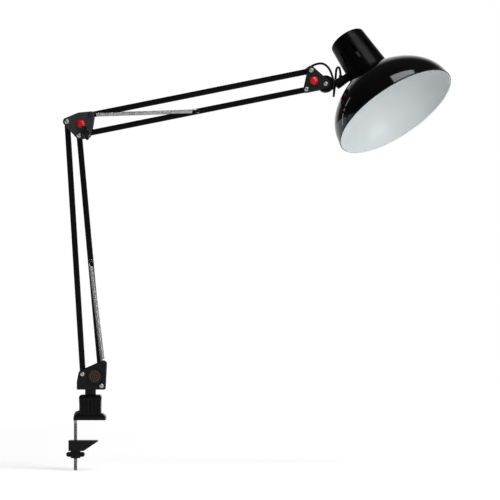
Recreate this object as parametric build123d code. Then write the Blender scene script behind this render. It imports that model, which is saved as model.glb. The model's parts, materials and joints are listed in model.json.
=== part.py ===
from build123d import *

import math
import os

import numpy as np

# Architect lamp with a table clamp, two spring-balanced arms and a swivelling shade.
# Millimetres, +Z up. The origin lies on the swivel axis at the table top, the arms
# reach towards +X and stand in the plane Y = 0, and the front of the lamp faces -Y.

# Fits
running_fit = 0.05
sliding_fit = 0.1
side_play = 0.2
thrust_play = 0.1
hook_play = 0.3

# Table clamp
flange_left = 23.1
flange_right = 21.7
flange_depth = 36.0
flange_height = 9.0
flange_slope = 4.2
block_width = 32.0
block_depth = 30.0
block_height = 35.3
block_waist = 0.9
block_round = 4.0
groove_count = 5
groove_pitch = 5.2
groove_diameter = 2.4
groove_bottom = 9.0
groove_top = 29.0
rod_diameter = 5.0
rod_offset = 21.0
rod_tail = 71.0
rod_hook_height = 10.6
rod_hook_radius = 5.5
rod_hook_reach = 8.0

# Clamp jaw and its wing nut
table_gap = 28.8
jaw_heel = 9.4
jaw_block = 21.4
jaw_length = 40.6
jaw_height = 14.3
jaw_tip = 1.4
jaw_depth = 26.0
jaw_round = 1.5
nut_hub_diameter = 14.0
nut_height = 10.5
nut_span = 26.0
wing_width = 7.0
wing_thickness = 5.0
insert_flats = 8.0
insert_height = 4.0

# Swivel post
post_diameter = 12.0
post_depth = 27.0
collar_diameter = 15.5
collar_height = 7.3
tongue_left = 13.0
tongue_right = 7.5
tongue_height = 11.4
rivet_diameter = 4.0
rivet_height = 5.2
rivet_spread = 9.0

# Square arm tubes
bar_size = 8.0
bar_wall = 1.0
bar_corner = 0.9
bar_overrun = 4.5

# Brackets: pairs of plates with the tubes between them
bracket_gap = 24.0
plate_thickness = 3.0
plate_edge = 0.6
spacer_diameter = 7.0
bolt_diameter = 4.0
bolt_head_diameter = 6.2
bolt_head_height = 2.4
bolt_head_round = 1.1
bolt_tip = 1.0
recess_span = 3.4
recess_width = 0.9
recess_depth = 1.4
hex_flats = 7.0
hex_height = 3.2
tie_diameter = 7.0
tie_spigot = 5.0
tie_bore = 3.0
cap_diameter = 11.6
cap_height = 3.6
cap_edge = 0.8
cap_stem = 4.0
open_pivot_play = 1.15

# Turret at the foot of the lower arm: pivots and outline lobes
turret_rear_x = -10.64
turret_rear_z = 64.4
turret_front_x = 16.1
turret_front_z = 48.0
turret_rear_lobe = 5.8
turret_left_x = -18.6
turret_right_x = 20.9
turret_corner = 1.2
turret_shoulder_z = 53.5
turret_shoulder_lobe = 4.0
turret_tie_x = 4.2
turret_tie_z = 61.2
spring_post_x = 17.6
spring_post_z = 77.8
spring_post_lobe = 5.0
roundel_x = 6.8
roundel_z = 61.2
roundel_diameter = 22.0
roundel_thickness = 1.0
roundel_rim_width = 1.4
roundel_rim_height = 0.5

# Lower arm
lower_bar_length = 353.2
lower_bar_lean = 3.55
lower_spring_pin_at = 175.0

# Elbow, measured from its rear lower pivot
elbow_front_dx = 16.94
elbow_front_dz = -19.32
elbow_top_dx = 34.02
elbow_top_dz = 9.94
elbow_bottom_dx = 27.16
elbow_bottom_dz = -16.38
elbow_cap_dx = 19.74
elbow_cap_dz = -3.6
elbow_rear_lobe = 5.5
elbow_front_lobe = 5.0
elbow_top_lobe = 4.4
elbow_bottom_lobe = 6.5
elbow_crown = 16.5

# Wing knob on the elbow's lower pivot
knob_diameter = 12.0
knob_height = 9.0
knob_wing_radius = 10.0
knob_wing_width = 5.0
knob_wing_rise = 4.0
knob_turn = 104.0

# Upper arm
upper_bar_length = 313.55
upper_bar_rise = 11.33
upper_spring_pin_at = 158.3

# Springs
spring_wire = 1.0
spring_diameter = 6.0
spring_turns = 20
spring_neck = 7.0
spring_depth = 7.7
spring_pin_diameter = 3.0
spring_post_diameter = 3.6
spring_pin_head = 5.0
spring_pin_head_thickness = 0.8
spring_pin_reach = 10.8
spring_post_gap = 1.0

# Head bracket, measured from its lower pivot
tilt_dx = 26.88
tilt_dz = 7.56
head_cap_dx = 10.57
head_cap_dz = 11.62
head_top_lobe = 5.5
head_bottom_lobe = 4.3
head_tilt_lobe = 6.4

# Knuckle between the bracket and the lamp head
hub_diameter = 24.0
neck_rise = 32.9
neck_drop = 8.83
neck_waist_diameter = 6.0
neck_waist_length = 11.0
neck_root_diameter = 14.4
neck_end_diameter = 12.0
neck_edge = 2.2
stud_diameter = 5.0
stud_depth = 12.0
stud_nut_flats = 7.8
stud_nut_height = 3.0
gland_diameter = 5.6
gland_mouth_diameter = 4.8
gland_length = 9.2
gland_setback = 9.0
gland_lean = 30.0

# Lamp head, measured along its axis from the shade's rim
head_turn = 21.5
head_reach = 60.0
neck_lift = 15.0
neck_face = 31.0
shade_radius = 90.0
shade_height = 67.2
shade_wall = 1.0
shade_hole_radius = 20.3
shade_crown_radius = 31.0
shade_crown_slope = 23.5
rim_bead = 1.2
base_radius = 29.4
base_thickness = 1.5
housing_foot_radius = 30.0
housing_top_radius = 25.7
housing_height = 62.5
housing_wall = 2.0
housing_round = 2.8
boss_inset = 26.4
vent_count = 7
vent_step = 45.0
vent_length = 25.0
vent_width = 3.4
vent_centre = 29.8
vent_first = -135.0
post_ring_radius = 25.4
screw_post_diameter = 6.0
screw_post_height = 14.0
screw_diameter = 2.6
screw_head_diameter = 4.6
screw_count = 2

# Lampholder for a 27 mm screw cap
holder_radius = 20.0
holder_flange_radius = 22.0
holder_flange = 3.0
holder_drop = 9.0
holder_height = 30.0
holder_mouth_radius = 15.0
holder_mouth_depth = 3.0
shell_radius = 13.3
shell_wall = 0.4
shell_length = 24.0
well_radius = 11.0
well_depth = 4.0
contact_length = 16.0
contact_width = 5.0
contact_thickness = 0.6
contact_drop = 3.0
ring_radius = 27.5
ring_height = 6.0

# Lead over the head joint
lead_diameter = 3.2
grommet_diameter = 4.6
grommet_rise = 24.0
grommet_setback = 12.0
grommet_length = 13.5
grommet_straight = 3.0
gland_straight = 3.0

# Cylinders that stand on or hang from their place
standing = (Align.CENTER, Align.CENTER, Align.MIN)
hanging = (Align.CENTER, Align.CENTER, Align.MAX)

# Depths of the bracket plates
inner = bracket_gap / 2
outer = inner + plate_thickness


def spot(x, z):
    """Point in the middle plane of the arms."""
    return Vector(x, 0, z)


def polar(length, degrees):
    """Step in the middle plane, at an angle above +X."""
    angle = math.radians(degrees)
    return spot(length * math.cos(angle), length * math.sin(angle))


# Pivots and axes
turret_rear = spot(turret_rear_x, turret_rear_z)
turret_front = spot(turret_front_x, turret_front_z)
spring_post = spot(spring_post_x, spring_post_z)
turret_middle = spot(turret_tie_x, turret_tie_z)
roundel_spot = spot(roundel_x, roundel_z)
elbow_rear = turret_rear + polar(lower_bar_length, 90 + lower_bar_lean)
elbow_front = elbow_rear + spot(elbow_front_dx, elbow_front_dz)
elbow_top = elbow_rear + spot(elbow_top_dx, elbow_top_dz)
elbow_bottom = elbow_rear + spot(elbow_bottom_dx, elbow_bottom_dz)
elbow_cap = elbow_rear + spot(elbow_cap_dx, elbow_cap_dz)
upper_reach = polar(upper_bar_length, upper_bar_rise)
head_top = elbow_top + upper_reach
head_bottom = elbow_bottom + upper_reach
head_cap = head_bottom + spot(head_cap_dx, head_cap_dz)
tilt_pivot = head_bottom + spot(tilt_dx, tilt_dz)
neck_along = polar(1, neck_rise)
neck_up = polar(1, neck_rise + 90)
neck_start = tilt_pivot - neck_up * neck_drop
neck_meet = neck_start + neck_along * head_reach
neck_end = neck_meet - neck_along * neck_face
neck_height = shade_height + neck_lift
turn = math.radians(head_turn)
head_up = neck_up * math.cos(turn) + Vector(0, 1, 0) * math.sin(turn)
head_frame = Plane(neck_meet - head_up * neck_height, x_dir=neck_along, z_dir=head_up)
lower_spring_pin = turret_front + (elbow_front - turret_front).normalized() * lower_spring_pin_at
upper_spring_pin = elbow_bottom + upper_reach.normalized() * upper_spring_pin_at


# Shapes used by many pieces
def circle_at(p, diameter):
    """Circle in the X-Z outline plane."""
    return Pos(p.X, p.Z) * Circle(diameter / 2)


def slab(outline, y0, y1):
    """Solid with an X-Z outline between two depths."""
    near = min(y0, y1)
    far = max(y0, y1)
    return extrude(Plane.XZ.offset(-far) * outline, amount=far - near)


def pin(p, diameter, y0, y1):
    """Round pin along Y."""
    return slab(circle_at(p, diameter), y0, y1)


def collar(p, outside, inside, y0, y1):
    """Ring along Y."""
    return slab(circle_at(p, outside) - circle_at(p, inside), y0, y1)


def hull(lobes):
    """Outline stretched round a set of (point, radius) lobes."""
    return make_hull([edge for p, r in lobes for edge in circle_at(p, 2 * r).edges()])


def plate(lobes, holes, side):
    """Bracket plate with softened outer edges; holes are (point, diameter) pairs."""
    blank = slab(hull(lobes), side * inner, side * outer)
    skin = blank.faces().sort_by(Axis.Y)[-1 if side > 0 else 0]
    blank = fillet(skin.edges(), plate_edge)
    for p, diameter in holes:
        blank -= pin(p, diameter, side * (inner - 1), side * (outer + 1))
    return blank


def turned(p, side, outline):
    """Solid turned round the Y axis through p; outline is (radius, height off the plate)."""
    seat = Plane((p.X, side * outer, p.Z), x_dir=(1, 0, 0), z_dir=(0, 0, side))
    return revolve(seat * outline, Axis(seat.origin, seat.y_dir))


def bolt(p, side, tail):
    """Pan-headed bolt with a cross recess, its tail past the other plate."""
    head = pin(p, bolt_head_diameter, side * outer, side * (outer + bolt_head_height))
    crown = head.faces().sort_by(Axis.Y)[-1 if side > 0 else 0]
    head = fillet(crown.edges(), bolt_head_round)
    recess = Rectangle(recess_span, recess_width) + Rectangle(recess_width, recess_span)
    recess_floor = outer + bolt_head_height - recess_depth
    head -= slab(Pos(p.X, p.Z) * recess, side * recess_floor, side * 2 * outer)
    return head + pin(p, bolt_diameter, side * outer, -side * tail)


def hex_nut(p):
    """Nut on the rear plate."""
    flats = Pos(p.X, p.Z) * RegularPolygon(hex_flats / 2, 6, major_radius=False)
    bore = circle_at(p, bolt_diameter + 2 * running_fit)
    return slab(flats - bore, outer, outer + hex_height)


def spacer_pair(p):
    """Spacers on both sides of a tube at one pivot."""
    start = bar_size / 2 + side_play
    bore = bolt_diameter + 2 * running_fit
    return [collar(p, spacer_diameter, bore, side * start, side * inner) for side in (-1, 1)]


def tie(p):
    """Shouldered stay that holds two plates apart."""
    stay = pin(p, tie_diameter, -inner, inner) + pin(p, tie_spigot, -outer, outer)
    return stay - pin(p, tie_bore, -outer - 1, outer + 1)


def dome_cap(p, side):
    """Domed cap pressed into the bore of a stay."""
    r = cap_diameter / 2
    stem = tie_bore / 2 - running_fit
    rise = cap_height - cap_edge
    bulge = (r**2 + rise**2) / (2 * rise)
    mid = (r / 2, cap_edge + rise - bulge + math.sqrt(bulge**2 - (r / 2) ** 2))
    foot = Polyline((0, cap_height), (0, -cap_stem), (stem, -cap_stem), (stem, 0), (r, 0), (r, cap_edge))
    return turned(p, side, make_face(foot + ThreePointArc((r, cap_edge), mid, (0, cap_height))))


def tube(start, end, holes):
    """Square tube between two pivots, open at its rounded ends; holes are (point, diameter)."""
    along = end - start
    run = Plane(start, x_dir=along, z_dir=(0, -1, 0))
    overall = along.length + 2 * bar_overrun - bar_size
    middle = along.length / 2
    blank = extrude(run * Pos(middle, 0) * SlotCenterToCenter(overall, bar_size), bar_size / 2, both=True)
    blank = fillet(blank.faces().filter_by(Axis.Y).edges(), bar_corner)
    bore = bar_size - 2 * bar_wall
    blank -= run * Pos(middle, 0, 0) * Box(along.length + 4 * bar_overrun, bore, bore)
    for p, diameter in holes:
        blank -= pin(p, diameter, -bar_size, bar_size)
    return blank


def cross_pin(p):
    """Spring pin through a tube, headed at both ends."""
    reach = spring_pin_reach
    rod = pin(p, spring_pin_diameter, -reach, reach)
    for side in (-1, 1):
        rod += pin(p, spring_pin_head, side * (reach - spring_pin_head_thickness), side * reach)
    return rod


def biarc(p0, t0, p1, t1):
    """Two tangent arcs between two points with given directions."""
    chord = p1 - p0
    spread = 2 * (1 - t0.dot(t1))
    lead_in = chord.dot(t0 + t1)
    d = (math.sqrt(lead_in**2 + spread * chord.dot(chord)) - lead_in) / spread
    middle = (p0 + p1 + (t0 - t1) * d) / 2
    through = ((p1 - t1 * d) - (p0 + t0 * d)).normalized()
    return [TangentArc(p0, middle, tangent=t0), TangentArc(middle, p1, tangent=through)]


def spring_path(hook_a, diameter_a, hook_b, diameter_b):
    """Wire centre line of a tension spring between two pins, in the plane Y = 0."""
    along = (hook_b - hook_a).normalized()
    depth = Vector(0, 1, 0)
    across = depth.cross(along)
    length = (hook_b - hook_a).length
    coil = (spring_diameter - spring_wire) / 2
    steps = 4 * spring_turns - 1
    advance = (length - 2 * spring_neck) / (steps * math.pi / 2)

    def on_hook(centre, pin_diameter, degrees):
        angle = math.radians(degrees)
        radius = pin_diameter / 2 + hook_play + spring_wire / 2
        out = along * math.cos(angle) + across * math.sin(angle)
        return centre + out * radius, across * math.cos(angle) - along * math.sin(angle)

    def on_coil(step):
        angle = math.radians(225 + 90 * step)
        out = across * math.cos(angle) + depth * math.sin(angle)
        round_way = depth * math.cos(angle) - across * math.sin(angle)
        place = hook_a + along * (spring_neck + advance * step * math.pi / 2)
        return place + out * coil, (along * advance + round_way * coil).normalized()

    stations = [on_hook(hook_a, diameter_a, angle) for angle in (45, 90, 180, 270)]
    stations += [on_coil(step) for step in range(steps + 1)]
    stations += [on_hook(hook_b, diameter_b, angle) for angle in (-90, 0, 90, 135)]
    arcs = []
    for (p0, t0), (p1, t1) in zip(stations, stations[1:]):
        arcs += biarc(p0, t0, p1, t1)
    return Wire(arcs)


def swept(path, diameter):
    """Round bar along a path."""
    return sweep(Plane(path @ 0, z_dir=path % 0) * Circle(diameter / 2), path=path)


def fill_share(solid, path, diameter):
    """Volume of a swept bar over that of a straight bar as long as its path."""
    return solid.volume / (path.length * math.pi * diameter**2 / 4)


def least_gap(path, diameter):
    """Smallest gap between parts of a path that are more than a half coil apart."""
    count = 1500
    points = np.array([tuple(path @ (i / count)) for i in range(count + 1)])
    apart = math.pi * spring_diameter / 2
    skip = int(apart / path.length * count) + 1
    gaps = [np.linalg.norm(points[i + skip:] - points[i], axis=1).min() for i in range(count - skip)]
    return min(gaps) - diameter


nodes = {}

# Clamp body: ribbed block with a flared flange, bored for the post and cut for the rod
hook_path = FilletPolyline(
    (-rod_offset, 0, -rod_tail),
    (-rod_offset, 0, rod_hook_height),
    (-rod_hook_reach, 0, rod_hook_height),
    radius=rod_hook_radius,
)
flange_width = flange_left + flange_right
flange_middle = (flange_right - flange_left) / 2
flange = Pos(flange_middle, 0, flange_height / 2) * Box(flange_width, flange_depth, flange_height)
flange = chamfer(flange.faces().sort_by(Axis.Z)[-1].edges(), flange_slope)
half = block_width / 2
waist = half - block_waist
walls = [
    Line((-half, 0), (half, 0)),
    ThreePointArc((half, 0), (waist, block_height / 2), (half, block_height)),
    Line((half, block_height), (-half, block_height)),
    ThreePointArc((-half, block_height), (-waist, block_height / 2), (-half, 0)),
]
block = slab(make_face(walls), -block_depth / 2, block_depth / 2)
block = fillet(block.faces().sort_by(Axis.Z)[-1].edges(), block_round)
for side in (-1, 1):
    for column in range(groove_count):
        x = (column - (groove_count - 1) / 2) * groove_pitch
        groove = Pos(x, side * block_depth / 2, groove_bottom) * Cylinder(
            groove_diameter / 2, groove_top - groove_bottom, align=standing
        )
        block -= groove
body = flange + block
body -= Pos(0, 0, block_height - post_depth) * Cylinder(
    post_diameter / 2 + running_fit, post_depth, align=standing
)
body -= swept(hook_path, rod_diameter + 2 * sliding_fit)
notch = Box(
    flange_left - rod_offset,
    rod_diameter + 2 * sliding_fit,
    2 * flange_height,
    align=(Align.MAX, Align.CENTER, Align.CENTER),
)
body -= Pos(-rod_offset, 0, 0) * notch
nodes["clamp_body"] = body
nodes["hook_bolt"] = swept(hook_path, rod_diameter)

# Clamp jaw: wedge that slides on the rod below the table
jaw_left = -rod_offset - jaw_heel
wedge = Polyline(
    (jaw_left, -table_gap),
    (jaw_left + jaw_length, -table_gap),
    (jaw_left + jaw_length, -table_gap - jaw_tip),
    (jaw_left + jaw_block, -table_gap - jaw_height),
    (jaw_left, -table_gap - jaw_height),
    close=True,
)
jaw = slab(make_face(wedge), -jaw_depth / 2, jaw_depth / 2)
jaw = fillet(jaw.faces().sort_by(Axis.X)[0].edges().filter_by(Axis.Z), jaw_round)
jaw -= Pos(-rod_offset, 0, 0) * Cylinder(rod_diameter / 2 + sliding_fit, 4 * rod_tail)
nodes["clamp_jaw"] = jaw

# Wing nut under the jaw, with a hex insert that runs on the rod
nut_top = -table_gap - jaw_height - thrust_play
hub = Pos(-rod_offset, 0, nut_top) * Cylinder(
    nut_hub_diameter / 2, nut_height, align=hanging
)
wing_middle = nut_top - nut_height / 2
wings = Pos(-rod_offset, wing_middle) * SlotOverall(nut_span, wing_width)
wing_nut = hub + slab(wings, -wing_thickness / 2, wing_thickness / 2)
insert_outline = RegularPolygon(insert_flats / 2, 6, major_radius=False)
insert_place = Pos(-rod_offset, 0, nut_top)
insert = insert_place * extrude(insert_outline, -insert_height)
rod_bore = Pos(-rod_offset, 0, wing_middle) * Cylinder(rod_diameter / 2 + running_fit, 2 * nut_height)
wing_nut -= insert_place * extrude(offset(insert_outline, running_fit), -insert_height)
nodes["wing_nut"] = wing_nut - Pos(-rod_offset, 0, wing_middle) * Cylinder(
    rod_diameter / 2 + sliding_fit, 2 * nut_height
)
nodes["wing_nut_insert"] = insert - rod_bore

# Swivel post: round post and collar below, tongue between the turret plates above
collar_bottom = block_height + thrust_play
tongue_bottom = block_height + collar_height
profile = Polyline(
    (0, block_height - post_depth),
    (post_diameter / 2, block_height - post_depth),
    (post_diameter / 2, collar_bottom),
    (collar_diameter / 2, collar_bottom),
    (collar_diameter / 2, tongue_bottom + tongue_height / 2),
    (0, tongue_bottom + tongue_height / 2),
    close=True,
)
post = revolve(Plane.XZ * make_face(profile), Axis.Z)
tongue = Polyline(
    (-tongue_left, tongue_bottom),
    (tongue_right, tongue_bottom),
    (tongue_right, tongue_bottom + tongue_height),
    (-tongue_left, tongue_bottom + tongue_height),
    close=True,
)
post += slab(make_face(tongue), -inner, inner)
tongue_middle = (tongue_right - tongue_left) / 2
rivet_spots = [
    spot(tongue_middle + side * rivet_spread / 2, tongue_bottom + rivet_height) for side in (-1, 1)
]
for p in rivet_spots:
    post -= pin(p, rivet_diameter + 2 * running_fit, -outer, outer)
nodes["swivel_post"] = post

# Turret plates and what holds them together
foot_height = tongue_bottom + turret_corner
turret_lobes = [
    (spot(turret_left_x + turret_corner, foot_height), turret_corner),
    (spot(turret_left_x + turret_shoulder_lobe, turret_shoulder_z), turret_shoulder_lobe),
    (turret_rear, turret_rear_lobe),
    (spring_post, spring_post_lobe),
    (spot(turret_right_x - turret_corner, foot_height), turret_corner),
]
bolt_hole = bolt_diameter + 2 * running_fit
tie_hole = tie_spigot + 2 * running_fit
turret_holes = [(turret_rear, bolt_hole), (turret_front, bolt_hole), (turret_middle, tie_hole)]
turret_holes += [(spring_post, spring_post_diameter + 2 * running_fit)]
turret_holes += [(p, rivet_diameter + 2 * running_fit) for p in rivet_spots]
nodes["turret_plate_front"] = plate(turret_lobes, turret_holes, -1)
nodes["turret_plate_rear"] = plate(turret_lobes, turret_holes, 1)
nodes["turret_rivets"] = Compound([pin(p, rivet_diameter, -outer, outer).solid() for p in rivet_spots])
nodes["turret_tie"] = tie(turret_middle)
face_radius = roundel_diameter / 2
rim_inside = face_radius - roundel_rim_width
medal = Polyline(
    (0, 0),
    (face_radius, 0),
    (face_radius, roundel_thickness + roundel_rim_height),
    (rim_inside, roundel_thickness + roundel_rim_height),
    (rim_inside, roundel_thickness),
    (0, roundel_thickness),
    close=True,
)
stem = pin(turret_middle, tie_bore - 2 * running_fit, cap_stem - outer, -outer)
nodes["turret_roundel"] = turned(roundel_spot, -1, make_face(medal)) + stem


bolt_tail = outer + hex_height + bolt_tip


def bolted(name, pivots, spaced_only):
    """Bolts, nuts and spacers of one bracket's pivots; the last pivots get spacers alone."""
    nodes[name + "_bolts"] = Compound([bolt(p, -1, bolt_tail).solid() for p in pivots])
    nodes[name + "_nuts"] = Compound([hex_nut(p).solid() for p in pivots])
    rings = [ring.solid() for p in pivots + spaced_only for ring in spacer_pair(p)]
    nodes[name + "_spacers"] = Compound(rings)


bolted("turret", [turret_rear, turret_front], [])
stub_end = bar_size / 2 + spring_post_gap
stubs = []
for side in (-1, 1):
    stub = pin(spring_post, spring_post_diameter, side * stub_end, side * outer)
    stub += pin(spring_post, spring_pin_head, side * stub_end, side * (stub_end + spring_pin_head_thickness))
    stub += pin(spring_post, spring_pin_head, side * outer, side * (outer + spring_pin_head_thickness))
    stubs.append(stub.solid())
nodes["lower_spring_posts"] = Compound(stubs)

# Lower arm tubes
open_hole = bolt_diameter + 2 * open_pivot_play
pin_hole = spring_pin_diameter + 2 * running_fit
nodes["lower_rear_bar"] = tube(turret_rear, elbow_rear, [(turret_rear, bolt_hole), (elbow_rear, bolt_hole)])
nodes["lower_front_bar"] = tube(
    turret_front,
    elbow_front,
    [(turret_front, bolt_hole), (elbow_front, open_hole), (lower_spring_pin, pin_hole)],
)
nodes["lower_spring_pin"] = cross_pin(lower_spring_pin)

# Elbow plates, stay, caps and pivots
elbow_lobes = [
    (elbow_rear, elbow_rear_lobe),
    (elbow_front, elbow_front_lobe),
    (elbow_bottom, elbow_bottom_lobe),
    (elbow_top, elbow_top_lobe),
    (elbow_cap, elbow_crown),
]
lower_pivots = [elbow_rear, elbow_front]
upper_pivots = [elbow_top, elbow_bottom]
elbow_holes = [(p, bolt_hole) for p in lower_pivots + upper_pivots] + [(elbow_cap, tie_hole)]
nodes["elbow_plate_front"] = plate(elbow_lobes, elbow_holes, -1)
nodes["elbow_plate_rear"] = plate(elbow_lobes, elbow_holes, 1)
nodes["elbow_tie"] = tie(elbow_cap)
nodes["elbow_caps"] = Compound([dome_cap(elbow_cap, side).solid() for side in (-1, 1)])
bolted("elbow", lower_pivots, upper_pivots)
nodes["elbow_top_bolt"] = bolt(elbow_top, -1, bolt_tail)
nodes["elbow_top_nut"] = hex_nut(elbow_top)
nodes["elbow_knob_bolt"] = bolt(elbow_bottom, 1, outer + knob_height)

# Wing knob that runs on the tail of the elbow's lower bolt
knob_face = outer + thrust_play
knob = pin(elbow_bottom, knob_diameter, -knob_face, -knob_face - knob_height)
knob = fillet(knob.faces().sort_by(Axis.Y)[0].edges(), bolt_head_round)
blade = Pos(elbow_bottom.X, elbow_bottom.Z) * Rot(0, 0, knob_turn) * SlotOverall(
    2 * knob_wing_radius, knob_wing_width
)
knob += slab(blade, -knob_face - knob_wing_rise, -knob_face - knob_height)
nodes["elbow_knob"] = knob - pin(elbow_bottom, bolt_hole, -outer, -outer - knob_height)

# Upper arm tubes, with a slanted grommet where the lead leaves the top tube
lead_way = polar(1, upper_bar_rise + grommet_rise)
lead_root = head_top - upper_reach.normalized() * grommet_setback
grommet_plane = Plane(lead_root, z_dir=lead_way)
top_tube = tube(elbow_top, head_top, [(elbow_top, bolt_hole), (head_top, bolt_hole)])
grommet_hole = extrude(grommet_plane * Circle(grommet_diameter / 2 + running_fit), grommet_length)
nodes["upper_top_bar"] = top_tube - grommet_hole
nodes["lead_grommet"] = extrude(grommet_plane * Circle(grommet_diameter / 2), grommet_length)
nodes["upper_bottom_bar"] = tube(
    elbow_bottom,
    head_bottom,
    [(elbow_bottom, bolt_hole), (head_bottom, bolt_hole), (upper_spring_pin, pin_hole)],
)
nodes["upper_spring_pin"] = cross_pin(upper_spring_pin)

# Springs, one on each side of the sprung tubes
spring_runs = {
    "lower": spring_path(spring_post, spring_post_diameter, lower_spring_pin, spring_pin_diameter),
    "upper": spring_path(elbow_top, spacer_diameter, upper_spring_pin, spring_pin_diameter),
}
for arm, path in spring_runs.items():
    print(f"{arm} spring: least gap to itself {least_gap(path, spring_wire):.2f} mm")
    coil = swept(path, spring_wire)
    print(f"{arm} spring: {fill_share(coil, path, spring_wire):.4f} of the wire's volume")
    nodes[arm + "_spring_front"] = Pos(0, -spring_depth, 0) * coil
    nodes[arm + "_spring_rear"] = Pos(0, spring_depth, 0) * coil

# Head bracket plates, stay, caps and pivots
head_lobes = [(head_top, head_top_lobe), (head_bottom, head_bottom_lobe), (tilt_pivot, head_tilt_lobe)]
head_pivots = [head_top, head_bottom]
head_holes = [(p, bolt_hole) for p in head_pivots + [tilt_pivot]] + [(head_cap, tie_hole)]
nodes["head_plate_front"] = plate(head_lobes, head_holes, -1)
nodes["head_plate_rear"] = plate(head_lobes, head_holes, 1)
nodes["head_tie"] = tie(head_cap)
nodes["head_caps"] = Compound([dome_cap(head_cap, side).solid() for side in (-1, 1)])
bolted("head", head_pivots, [])
nodes["tilt_bolt"] = bolt(tilt_pivot, -1, bolt_tail)
nodes["tilt_nut"] = hex_nut(tilt_pivot)

# Knuckle: hub on the tilt bolt, a waist and a tapered barrel for the stud of the lamp head
hub_half = inner - side_play
waist_plane = Plane(neck_start, z_dir=neck_along)
stud_plane = Plane(neck_end, z_dir=neck_along)
barrel = loft(
    [
        waist_plane.offset(neck_waist_length) * Circle(neck_root_diameter / 2),
        stud_plane * Circle(neck_end_diameter / 2),
    ]
)
barrel = fillet(barrel.faces().sort_by_distance(neck_start)[0].edges(), neck_edge)
waist = extrude(waist_plane * Circle(neck_waist_diameter / 2), neck_waist_length + neck_edge)
knuckle = pin(tilt_pivot, hub_diameter, -hub_half, hub_half) + waist + barrel
knuckle -= pin(tilt_pivot, bolt_hole, -inner, inner)
knuckle -= extrude(stud_plane * Circle(stud_diameter / 2 + running_fit), -stud_depth)
lean = math.radians(gland_lean)
gland_way = polar(1, neck_rise + 90 - gland_lean)
gland_root = neck_end - neck_along * gland_setback
gland_foot = (stud_diameter / 2 + sliding_fit + gland_diameter / 2 * math.sin(lean)) / math.cos(lean)
gland_seat = Plane(gland_root + gland_way * gland_foot, z_dir=gland_way)
knuckle -= extrude(gland_seat * Circle(gland_diameter / 2 + running_fit), gland_length)
nodes["knuckle"] = knuckle
nodes["lead_gland"] = loft(
    [
        gland_seat * Circle(gland_diameter / 2),
        gland_seat.offset(gland_length - gland_foot) * Circle(gland_mouth_diameter / 2),
    ]
)
stud_end = neck_face - boss_inset + stud_nut_height + bolt_tip
stud_root = stud_plane.offset(-stud_depth)
nodes["swivel_stud"] = extrude(stud_root * Circle(stud_diameter / 2), stud_depth + stud_end)
nut_plane = stud_plane.offset(neck_face - boss_inset + thrust_play)
stud_nut = RegularPolygon(stud_nut_flats / 2, 6, major_radius=False)
stud_nut -= Circle(stud_diameter / 2 + running_fit)
nodes["swivel_nut"] = extrude(nut_plane * stud_nut, stud_nut_height)

# Shade: spun dome with a flat crown, a rolled rim and a hole for the lampholder
crown_way = math.radians(-shade_crown_slope)
crown_edge = (Vector(shade_crown_radius, shade_height), Vector(math.cos(crown_way), math.sin(crown_way)))
rim_edge = (Vector(shade_radius, 0), Vector(0, -1))
skin = biarc(*crown_edge, *rim_edge)
lining = biarc(
    crown_edge[0] - Vector(0, shade_wall), crown_edge[1], rim_edge[0] - Vector(shade_wall, 0), rim_edge[1]
)
seams = [
    Line((shade_hole_radius, shade_height), skin[0] @ 0),
    Line(skin[1] @ 1, lining[1] @ 1),
    Line(lining[0] @ 0, (shade_hole_radius, shade_height - shade_wall)),
    Line((shade_hole_radius, shade_height - shade_wall), (shade_hole_radius, shade_height)),
]
shade = revolve(Plane.XZ * make_face(skin + lining + seams), Axis.Z)
bead = Plane.XZ * Pos(shade_radius - shade_wall / 2, 0) * Circle(rim_bead)
shade += revolve(bead, Axis.Z)
nodes["shade"] = head_frame * shade

# Housing: tapered vented cover with a boss for the stud, on a recessed base disc
base_top = shade_height + base_thickness
housing_top = base_top + housing_height


def cup(foot_radius, top_radius, top, rounding):
    """Tapered solid from the base upwards with a rounded top edge."""
    wall = Polyline((0, base_top), (foot_radius, base_top), (top_radius, top), (0, top), close=True)
    section = make_face(wall)
    section = fillet(section.vertices().group_by(Axis.Y)[-1].sort_by(Axis.X)[-1], rounding)
    return revolve(Plane.XZ * section, Axis.Z)


housing = cup(housing_foot_radius, housing_top_radius, housing_top, housing_round)
housing -= cup(
    housing_foot_radius - housing_wall,
    housing_top_radius - housing_wall,
    housing_top - housing_wall,
    housing_round - housing_wall,
)
swivel_line = Plane((0, 0, neck_height), x_dir=(0, 1, 0), z_dir=(-1, 0, 0))
boss_length = neck_face - boss_inset - thrust_play
boss = extrude(swivel_line.offset(boss_inset) * Circle(neck_end_diameter / 2), boss_length)
below = Cylinder(2 * neck_face, neck_height, align=hanging)
housing += boss - Pos(0, 0, base_top) * below
housing -= extrude(swivel_line * Circle(stud_diameter / 2 + running_fit), 2 * neck_face)
screw_spots = [Location((0, 0, base_top), (0, 0, 90 + i * 360 / screw_count)) for i in range(screw_count)]
for place in screw_spots:
    column = Cylinder(screw_post_diameter / 2, screw_post_height, align=standing)
    housing += place * Pos(post_ring_radius, 0, 0) * column
    pilot = Cylinder(screw_diameter / 2 + running_fit, screw_post_height)
    housing -= place * Pos(post_ring_radius, 0, 0) * pilot
for i in range(vent_count):
    angle = vent_first + i * vent_step
    way = Plane((0, 0, base_top + vent_centre), x_dir=(0, 0, 1), z_dir=Vector(1, 0, 0).rotate(Axis.Z, angle))
    housing -= extrude(way * SlotOverall(vent_length, vent_width), 2 * housing_foot_radius)
nodes["socket_housing"] = head_frame * housing

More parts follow.
